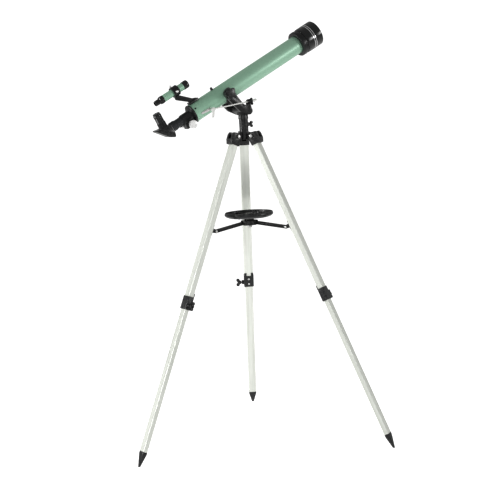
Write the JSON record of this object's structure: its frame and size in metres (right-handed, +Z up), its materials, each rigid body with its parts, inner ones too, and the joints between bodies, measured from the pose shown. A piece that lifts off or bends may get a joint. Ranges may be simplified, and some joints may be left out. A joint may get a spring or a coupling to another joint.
{
  "type": "refractor telescope",
  "caption": "Small refractor telescope with rack focuser, diagonal, eyepiece and finder, on a yoke with a slow-motion rod, over a folding aluminium tripod with a tray.",
  "frame": {"origin": "on the floor, on the tripod's vertical axis", "axes": "+Z up, +Y the way the tube points in plan, +X the telescope's right side"},
  "size_m": [0.8617, 0.8216, 1.4455],
  "materials": {
    "black_plastic": "moulded black plastic with a soft sheen",
    "leg_aluminium": "satin anodised extrusion",
    "tube_paint": "pale metallic sea-green enamel",
    "bright_steel": "bright zinc-plated steel",
    "grey_plastic": "pale grey moulding",
    "chrome_trim": "polished chrome plate",
    "white_plastic": "glossy silver-white moulding",
    "dark_metal": "blackened and black-anodised metal",
    "lens_glass": "coated optical glass"
  },
  "bodies": {
    "tripod_head": {"tripod_head": "black_plastic", "leg_bolts": "bright_steel"},
    "leg_a": {"leg_cap_a": "black_plastic", "upper_leg_a": "leg_aluminium", "leg_clamp_a": "black_plastic", "brace_bracket_a": "black_plastic"},
    "lower_leg_a": {"lower_leg_a": "leg_aluminium", "foot_tip_a": "black_plastic"},
    "clamp_screw_a": {"clamp_screw_a": "black_plastic"},
    "leg_b": {"leg_cap_b": "black_plastic", "upper_leg_b": "leg_aluminium", "leg_clamp_b": "black_plastic", "brace_bracket_b": "black_plastic"},
    "lower_leg_b": {"lower_leg_b": "leg_aluminium", "foot_tip_b": "black_plastic"},
    "clamp_screw_b": {"clamp_screw_b": "black_plastic"},
    "leg_c": {"leg_cap_c": "black_plastic", "upper_leg_c": "leg_aluminium", "leg_clamp_c": "black_plastic", "brace_bracket_c": "black_plastic"},
    "lower_leg_c": {"lower_leg_c": "leg_aluminium", "foot_tip_c": "black_plastic"},
    "clamp_screw_c": {"clamp_screw_c": "black_plastic"},
    "brace_hub": {"brace_hub": "black_plastic", "tray": "black_plastic"},
    "tray_screw": {"tray_screw": "bright_steel"},
    "brace_arm_a": {"brace_arm_a": "black_plastic"},
    "brace_arm_b": {"brace_arm_b": "black_plastic"},
    "brace_arm_c": {"brace_arm_c": "black_plastic"},
    "azimuth_lock": {"azimuth_lock": "black_plastic"},
    "yoke": {"yoke": "black_plastic"},
    "altitude_knob_right": {"altitude_knob_right": "black_plastic"},
    "altitude_knob_left": {"altitude_knob_left": "black_plastic"},
    "rod_clamp": {"rod_clamp": "black_plastic"},
    "rod_clamp_screw": {"rod_clamp_screw": "black_plastic"},
    "telescope_tube": {"tube_saddle": "black_plastic", "rod_bracket": "bright_steel", "main_tube": "tube_paint", "objective_cell": "black_plastic", "objective_lenses": "lens_glass", "lens_ring": "black_plastic", "dew_hood": "black_plastic", "hood_rings": "chrome_trim", "focuser_body": "black_plastic", "tube_screws": "dark_metal", "finder_bracket": "black_plastic", "finder_tube": "tube_paint", "finder_front": "black_plastic", "finder_lens": "lens_glass", "finder_screws": "white_plastic"},
    "rod_pivot_screw": {"rod_pivot_screw": "grey_plastic"},
    "slow_motion_rod": {"slow_motion_rod": "bright_steel"},
    "drawtube": {"drawtube": "dark_metal"},
    "focus_pinion": {"pinion_shaft": "bright_steel", "focus_knobs": "white_plastic"},
    "diagonal": {"diagonal_body": "black_plastic", "diagonal_prism": "lens_glass"},
    "eyepiece": {"eyepiece": "black_plastic", "eyepiece_lenses": "lens_glass"},
    "finder_eyepiece": {"finder_eyepiece": "black_plastic"}
  },
  "joints": [
    {"name": "leg_fold_a", "type": "hinge", "parent": "tripod_head", "child": "leg_a", "pos_m": [0.02871, 0.02003, 1.06492], "axis": [-0.5721, 0.8202, 0], "range_deg": [0, 6]},
    {"name": "leg_slide_a", "type": "slide", "parent": "leg_a", "child": "lower_leg_a", "axis": [-0.3252, -0.2269, 0.918], "range_m": [0, 0.45]},
    {"name": "clamp_turn_a", "type": "hinge", "parent": "leg_a", "child": "clamp_screw_a", "pos_m": [0.22382, 0.15614, 0.5141], "axis": [-0.5721, 0.8202, 0], "range_deg": [0, 360]},
    {"name": "leg_fold_b", "type": "hinge", "parent": "tripod_head", "child": "leg_b", "pos_m": [-0.0317, 0.01485, 1.06492], "axis": [-0.4242, -0.9056, 0], "range_deg": [0, 6]},
    {"name": "leg_slide_b", "type": "slide", "parent": "leg_b", "child": "lower_leg_b", "axis": [0.3591, -0.1682, 0.918], "range_m": [0, 0.45]},
    {"name": "clamp_turn_b", "type": "hinge", "parent": "leg_b", "child": "clamp_screw_b", "pos_m": [-0.24713, 0.11577, 0.5141], "axis": [-0.4242, -0.9056, 0], "range_deg": [0, 360]},
    {"name": "leg_fold_c", "type": "hinge", "parent": "tripod_head", "child": "leg_c", "pos_m": [0.00299, -0.03487, 1.06492], "axis": [0.9963, 0.0854, 0], "range_deg": [0, 6]},
    {"name": "leg_slide_c", "type": "slide", "parent": "leg_c", "child": "lower_leg_c", "axis": [-0.0339, 0.3951, 0.918], "range_m": [0, 0.45]},
    {"name": "clamp_turn_c", "type": "hinge", "parent": "leg_c", "child": "clamp_screw_c", "pos_m": [0.02331, -0.27191, 0.5141], "axis": [0.9963, 0.0854, 0], "range_deg": [0, 360]},
    {"name": "hub_rise", "type": "slide", "parent": "tripod_head", "child": "brace_hub", "axis": [0, 0, 1], "range_m": [0, 0.0577]},
    {"name": "tray_screw_turn", "type": "hinge", "parent": "brace_hub", "child": "tray_screw", "pos_m": [0, 0, 0.75], "axis": [0, 0, -1], "range_deg": [0, 360]},
    {"name": "brace_swing_a", "type": "hinge", "parent": "brace_hub", "child": "brace_arm_a", "pos_m": [0.01804, 0.01259, 0.766], "axis": [-0.5721, 0.8202, 0], "range_deg": [0, 36.7]},
    {"name": "brace_swing_b", "type": "hinge", "parent": "brace_hub", "child": "brace_arm_b", "pos_m": [-0.01992, 0.00933, 0.766], "axis": [-0.4242, -0.9056, 0], "range_deg": [0, 36.7]},
    {"name": "brace_swing_c", "type": "hinge", "parent": "brace_hub", "child": "brace_arm_c", "pos_m": [0.00188, -0.02192, 0.766], "axis": [0.9963, 0.0854, 0], "range_deg": [0, 36.7]},
    {"name": "azimuth_lock_turn", "type": "hinge", "parent": "tripod_head", "child": "azimuth_lock", "pos_m": [0, 0.01, 1.104], "axis": [0, 1, 0], "range_deg": [0, 360]},
    {"name": "azimuth", "type": "hinge", "parent": "tripod_head", "child": "yoke", "pos_m": [0, 0, 1.13], "axis": [0, 0, 1], "continuous": true},
    {"name": "altitude", "type": "hinge", "parent": "yoke", "child": "telescope_tube", "pos_m": [0, -0.07306, 1.21327], "axis": [1, 0, 0], "range_deg": [-15, 33]},
    {"name": "altitude_knob_right_turn", "type": "hinge", "parent": "yoke", "child": "altitude_knob_right", "pos_m": [0, -0.07306, 1.21327], "axis": [1, 0, 0], "range_deg": [0, 360]},
    {"name": "altitude_knob_left_turn", "type": "hinge", "parent": "yoke", "child": "altitude_knob_left", "pos_m": [0, -0.07306, 1.21327], "axis": [-1, 0, 0], "range_deg": [0, 360]},
    {"name": "rod_clamp_swivel", "type": "hinge", "parent": "yoke", "child": "rod_clamp", "pos_m": [0, -0.001, 1.182], "axis": [1, 0, 0], "range_deg": [-8, 18]},
    {"name": "rod_clamp_turn", "type": "hinge", "parent": "rod_clamp", "child": "rod_clamp_screw", "pos_m": [0.05, -0.001, 1.182], "axis": [1, 0, 0], "range_deg": [0, 360]},
    {"name": "rod_swing", "type": "hinge", "parent": "telescope_tube", "child": "slow_motion_rod", "pos_m": [0.05, -0.14, 1.16402], "axis": [1, 0, 0], "range_deg": [-16, 8]},
    {"name": "rod_pivot_turn", "type": "hinge", "parent": "telescope_tube", "child": "rod_pivot_screw", "pos_m": [0.05, -0.14, 1.16402], "axis": [1, 0, 0], "range_deg": [0, 360]},
    {"name": "focus", "type": "slide", "parent": "telescope_tube", "child": "drawtube", "axis": [0, 0.891, 0.454], "range_m": [-0.05, 0.024]},
    {"name": "pinion_spin", "type": "hinge", "parent": "telescope_tube", "child": "focus_pinion", "pos_m": [0, -0.20964, 1.11787], "axis": [1, 0, 0], "range_deg": [-240, 480]},
    {"name": "diagonal_turn", "type": "hinge", "parent": "drawtube", "child": "diagonal", "pos_m": [0, -0.2673, 1.1143], "axis": [0, 0.891, 0.454], "continuous": true},
    {"name": "eyepiece_slide", "type": "slide", "parent": "diagonal", "child": "eyepiece", "axis": [0, -0.454, 0.891], "range_m": [0, 0.012]},
    {"name": "finder_focus", "type": "slide", "parent": "telescope_tube", "child": "finder_eyepiece", "axis": [0, -0.891, -0.454], "range_m": [0, 0.006]}
  ],
  "couplings": [
    {"joint": "leg_fold_b", "follows": "leg_fold_a", "ratio": 1},
    {"joint": "leg_fold_c", "follows": "leg_fold_a", "ratio": 1},
    {"joint": "hub_rise", "follows": "leg_fold_a", "m_per_rad": 0.55},
    {"joint": "brace_swing_a", "follows": "leg_fold_a", "ratio": 6.1},
    {"joint": "brace_swing_b", "follows": "leg_fold_a", "ratio": 6.1},
    {"joint": "brace_swing_c", "follows": "leg_fold_a", "ratio": 6.1},
    {"joint": "rod_clamp_swivel", "follows": "altitude", "ratio": 0.521},
    {"joint": "rod_swing", "follows": "altitude", "ratio": -0.479},
    {"joint": "pinion_spin", "follows": "focus", "rad_per_m": -166.67}
  ]
}
